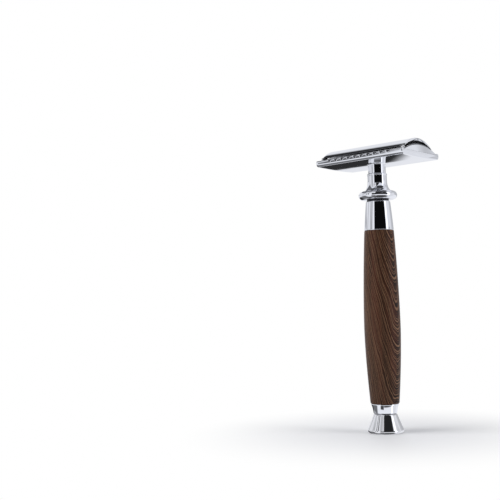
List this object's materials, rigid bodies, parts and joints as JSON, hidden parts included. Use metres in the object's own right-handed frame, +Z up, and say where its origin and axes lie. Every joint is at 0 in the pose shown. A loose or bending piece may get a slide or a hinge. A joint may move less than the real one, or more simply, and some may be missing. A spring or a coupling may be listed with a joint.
{
  "type": "safety razor",
  "caption": "Twist-to-open double-edge safety razor: wooden grip between chrome fittings, bell-shaped turning knob, scalloped guard and two hinged doors over the blade.",
  "frame": {"origin": "centre of the knob's flat foot, on the handle's axis", "axes": "+Z up the handle towards the head; X along the blade's cutting edges; +Y towards the rear door, -Y towards the front door"},
  "size_m": [0.0436, 0.027, 0.1202],
  "materials": {
    "chrome": "polished chrome plate",
    "wood": "dark, feather-grained wood under a satin lacquer",
    "brass": "turned brass, unplated",
    "tube_steel": "drawn and turned bright steel",
    "tray_steel": "stamped nickel-plated steel, satin",
    "spring_steel": "spring steel, grey",
    "dark_steel": "blackened steel spacer in the shadow groove",
    "blade_steel": "stainless blade steel, ground bevels"
  },
  "bodies": {
    "handle": {"tail_collar": "chrome", "grip": "wood", "core_tube": "tube_steel", "ferrule": "chrome", "neck_washer": "dark_steel", "neck": "chrome", "guard": "chrome", "rod_bush": "brass"},
    "knob": {"knob": "chrome", "knob_plug": "chrome", "drive_nut": "brass", "snap_ring": "spring_steel", "wave_washer": "spring_steel"},
    "lift": {"lift_rod": "tube_steel", "blade_tray": "tray_steel", "end_bracket_left": "tray_steel", "end_bracket_right": "tray_steel", "hinge_pin_front_left": "spring_steel", "hinge_pin_front_right": "spring_steel", "hinge_pin_rear_left": "spring_steel", "hinge_pin_rear_right": "spring_steel", "blade": "blade_steel"},
    "door_front": {"door_front": "chrome"},
    "door_rear": {"door_rear": "chrome"}
  },
  "joints": [
    {"name": "tray_lift", "type": "slide", "parent": "handle", "child": "lift", "axis": [0, 0, 1], "range_m": [0, 0.004]},
    {"name": "knob_turn", "type": "hinge", "parent": "handle", "child": "knob", "pos_m": [0, 0, 0], "axis": [0, 0, -1], "range_deg": [0, 900]},
    {"name": "door_front_hinge", "type": "hinge", "parent": "lift", "child": "door_front", "pos_m": [0, -0.01045, 0.11535], "axis": [1, 0, 0], "range_deg": [0, 95]},
    {"name": "door_rear_hinge", "type": "hinge", "parent": "lift", "child": "door_rear", "pos_m": [0, 0.01045, 0.11535], "axis": [1, 0, 0], "range_deg": [-95, 0]}
  ],
  "couplings": [
    {"joint": "knob_turn", "follows": "tray_lift", "rad_per_m": 3926.9},
    {"joint": "door_front_hinge", "follows": "tray_lift", "rad_per_m": 414.5},
    {"joint": "door_rear_hinge", "follows": "tray_lift", "rad_per_m": -414.5}
  ]
}
